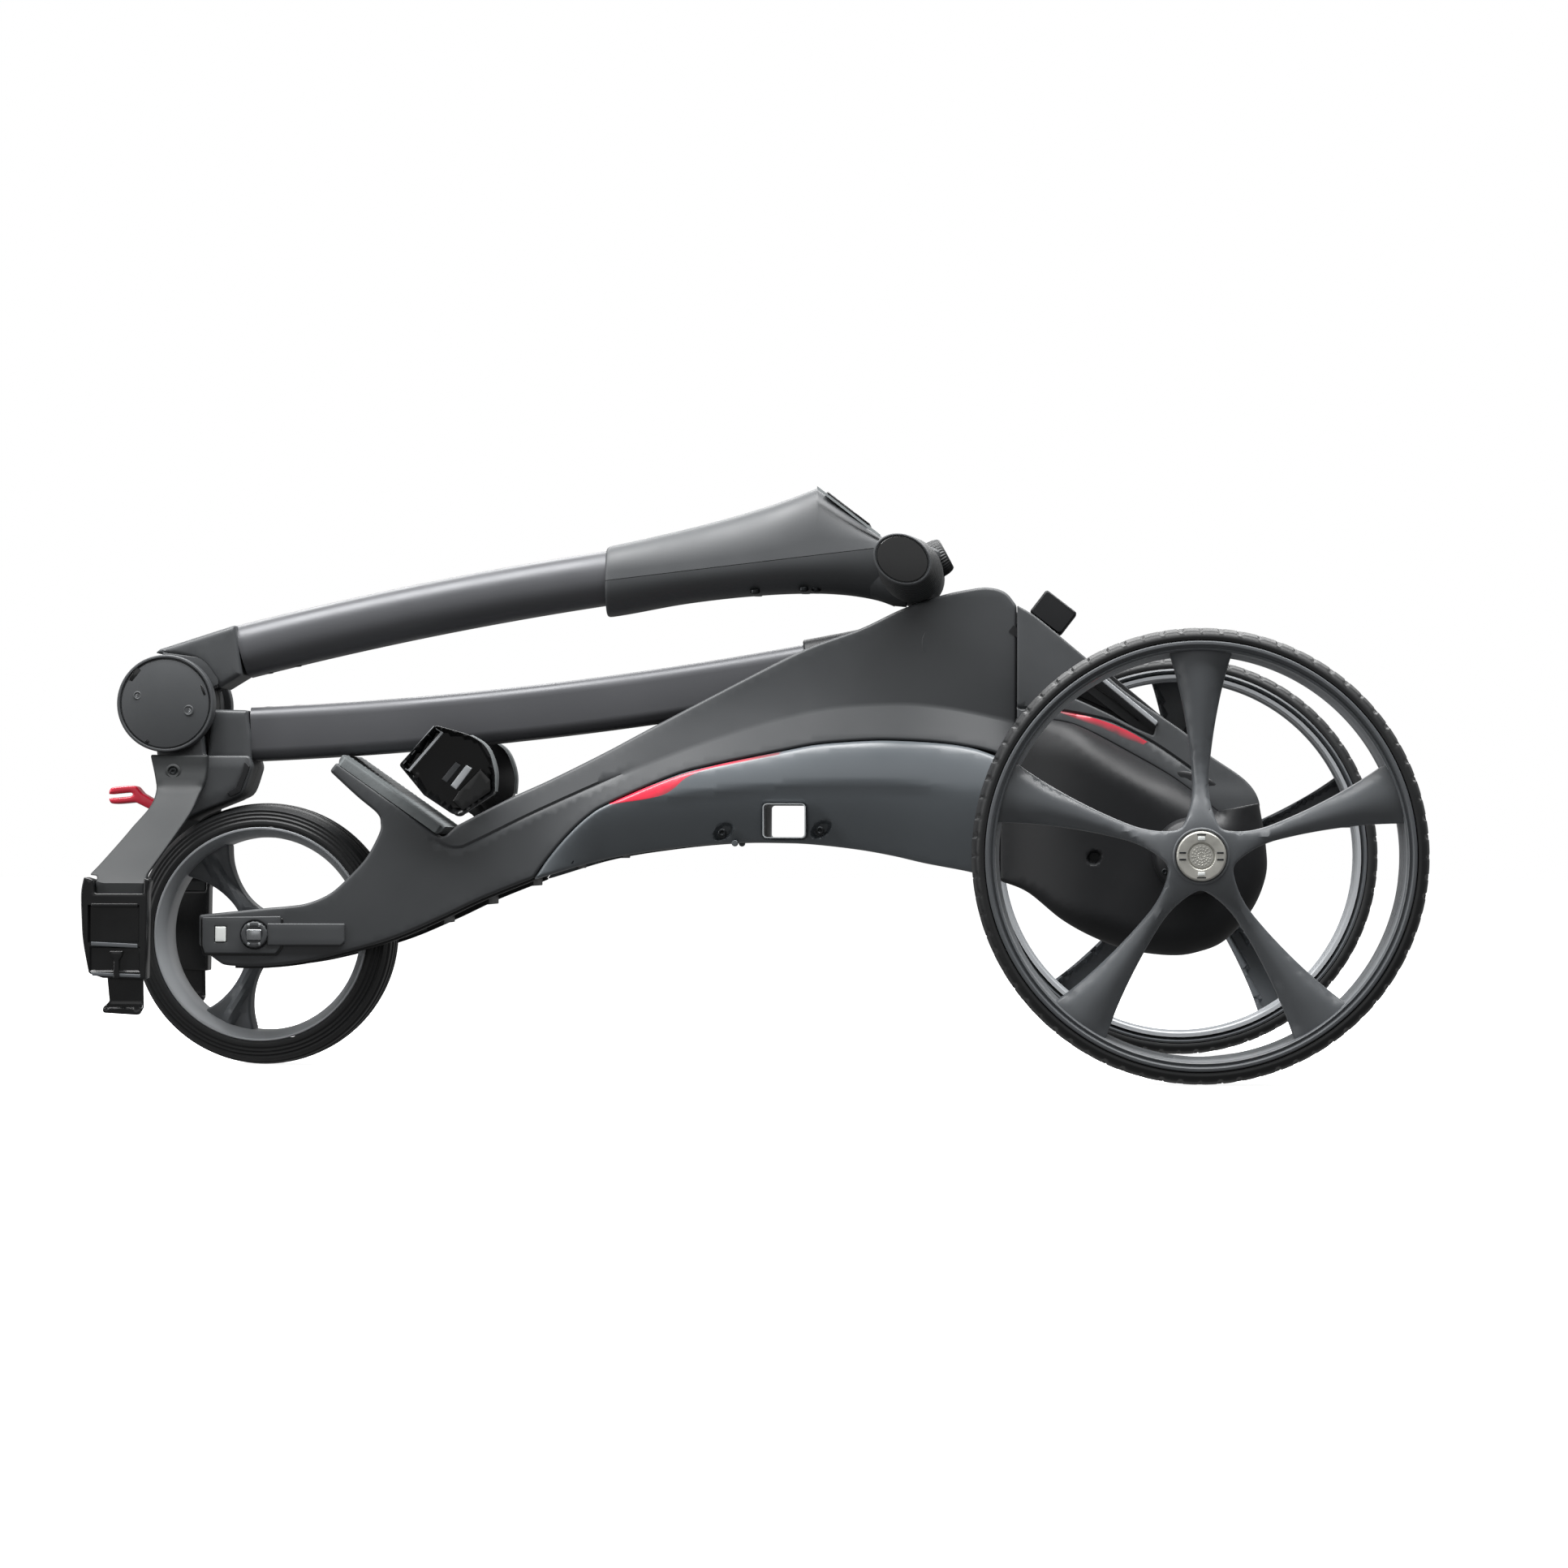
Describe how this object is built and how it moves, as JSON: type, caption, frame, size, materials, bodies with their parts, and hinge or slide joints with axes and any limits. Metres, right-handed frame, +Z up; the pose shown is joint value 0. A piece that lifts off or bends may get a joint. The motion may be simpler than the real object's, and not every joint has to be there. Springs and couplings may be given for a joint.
{
  "type": "electric golf trolley",
  "caption": "Three-wheeled electric golf trolley folded flat, with a motor on the rear axle and a two-part shaft folded over the chassis.",
  "frame": {"origin": "middle of the bounding box, on the ground under the wheels", "axes": "+X towards the rear wheels, +Y towards the trolley's right-hand wheel as set here, +Z up"},
  "size_m": [0.873, 0.59, 0.3903],
  "materials": {
    "shell": "fine grain, charcoal",
    "belly": "satin, blue-grey",
    "inner_frame": "matt black",
    "shaft": "satin graphite anodised",
    "collar": "matt dark grey",
    "grip": "soft touch",
    "rim": "satin dark grey",
    "tyre": "ribbed tread",
    "hub": "satin",
    "steel": "bright",
    "gloss": "gloss black",
    "red": "bright red",
    "webbing": "woven elastic",
    "screen": "dark window",
    "circuit": "circuit board"
  },
  "bodies": {
    "chassis": {"side_frame_left": "shell", "side_frame_right": "shell", "belly_shell_left": "belly", "belly_shell_right": "belly", "chassis_spine": "inner_frame", "service_cover": "inner_frame", "controller_board": "circuit", "rear_cover_left": "shell", "rear_cover_right": "shell", "battery_tray": "inner_frame", "motor_housing": "inner_frame", "motor_can": "steel", "axle_bearing_left": "steel", "axle_bearing_right": "steel", "front_axle": "steel", "adjuster_plate": "collar", "support_lip": "shell", "lip_pad": "grip", "support_wing_left": "gloss", "support_wing_right": "gloss", "pivot_pin": "steel"},
    "latch": {"frame_latch": "collar"},
    "drive": {"drive_axle": "steel", "drive_gear": "steel"},
    "pinion": {"motor_pinion": "steel"},
    "rear_wheel_left": {"rear_tyre_left": "tyre", "rear_rim_left": "rim"},
    "rear_wheel_right": {"rear_tyre_right": "tyre", "rear_rim_right": "rim"},
    "button_left": {"hub_button_left": "hub"},
    "button_right": {"hub_button_right": "hub"},
    "front_wheel": {"front_tyre": "tyre", "front_rim": "rim"},
    "adjuster": {"adjuster_knob": "steel"},
    "lower_shaft": {"lower_tube": "shaft", "pivot_sleeve": "collar", "lower_hinge_collar": "collar", "hinge_pin": "steel", "support_yoke": "collar", "support_arm_left": "collar", "support_arm_right": "collar", "strap_bracket_left": "gloss", "strap_bracket_right": "gloss", "strap_hook_left": "gloss", "strap_hook_right": "gloss", "bag_strap": "webbing"},
    "lever": {"release_lever": "red"},
    "upper_shaft": {"upper_tube": "shaft", "upper_hinge_collar": "collar", "hinge_disc_left": "collar", "hinge_disc_right": "collar", "stem_upper": "collar", "stem_lower": "collar", "handle_bar": "collar", "grip_left": "grip", "grip_right": "grip", "display_window": "screen"},
    "dial_core": {"dial_shaft": "steel"},
    "dial": {"speed_dial": "gloss"}
  },
  "joints": [
    {"name": "lower_fold", "type": "hinge", "parent": "chassis", "child": "lower_shaft", "pos_m": [0.129, 0, 0.2845], "axis": [0, 1, 0], "range_deg": [0, 132]},
    {"name": "upper_fold", "type": "hinge", "parent": "lower_shaft", "child": "upper_shaft", "pos_m": [-0.392, 0, 0.243], "axis": [0, -1, 0], "range_deg": [0, 174]},
    {"name": "front_wheel_spin", "type": "hinge", "parent": "chassis", "child": "front_wheel", "pos_m": [-0.329, 0, 0.0883], "axis": [0, 1, 0], "continuous": true},
    {"name": "drive_spin", "type": "hinge", "parent": "chassis", "child": "drive", "pos_m": [0.294, 0, 0.1425], "axis": [0, 1, 0], "continuous": true},
    {"name": "pinion_spin", "type": "hinge", "parent": "chassis", "child": "pinion", "pos_m": [0.2657, 0, 0.1425], "axis": [0, 1, 0], "continuous": true},
    {"name": "rear_wheel_left_spin", "type": "hinge", "parent": "drive", "child": "rear_wheel_left", "pos_m": [0.294, -0.254, 0.1425], "axis": [0, 1, 0], "continuous": true},
    {"name": "rear_wheel_right_spin", "type": "hinge", "parent": "drive", "child": "rear_wheel_right", "pos_m": [0.294, 0.254, 0.1425], "axis": [0, 1, 0], "continuous": true},
    {"name": "hub_button_left_press", "type": "slide", "parent": "rear_wheel_left", "child": "button_left", "axis": [0, 1, 0], "range_m": [0, 0.003], "stiffness_N_per_m": 600, "springref_m": -0.003},
    {"name": "hub_button_right_press", "type": "slide", "parent": "rear_wheel_right", "child": "button_right", "axis": [0, -1, 0], "range_m": [0, 0.003], "stiffness_N_per_m": 600, "springref_m": -0.003},
    {"name": "frame_latch_slide", "type": "slide", "parent": "chassis", "child": "latch", "axis": [0.7931, 0, -0.6091], "range_m": [0, 0.008], "stiffness_N_per_m": 800, "springref_m": -0.004},
    {"name": "release_lever_pull", "type": "hinge", "parent": "lower_shaft", "child": "lever", "pos_m": [-0.403, 0, 0.1735], "axis": [0, -1, 0], "range_deg": [0, 18], "stiffness_Nm_per_rad": 0.6, "springref_deg": -17.19},
    {"name": "dial_press", "type": "slide", "parent": "upper_shaft", "child": "dial_core", "axis": [-0.88, 0, -0.475], "range_m": [0, 0.0015], "stiffness_N_per_m": 900, "springref_m": -0.002},
    {"name": "dial_turn", "type": "hinge", "parent": "dial_core", "child": "dial", "pos_m": [0.1075, 0, 0.3333], "axis": [0.88, 0, 0.475], "range_deg": [0, 270]},
    {"name": "tracking_adjuster_turn", "type": "hinge", "parent": "chassis", "child": "adjuster", "pos_m": [-0.329, -0.0574, 0.0883], "axis": [0, 1, 0], "range_deg": [-45, 45]}
  ],
  "couplings": [
    {"joint": "upper_fold", "follows": "lower_fold", "ratio": 1.3182},
    {"joint": "pinion_spin", "follows": "drive_spin", "ratio": -3}
  ]
}
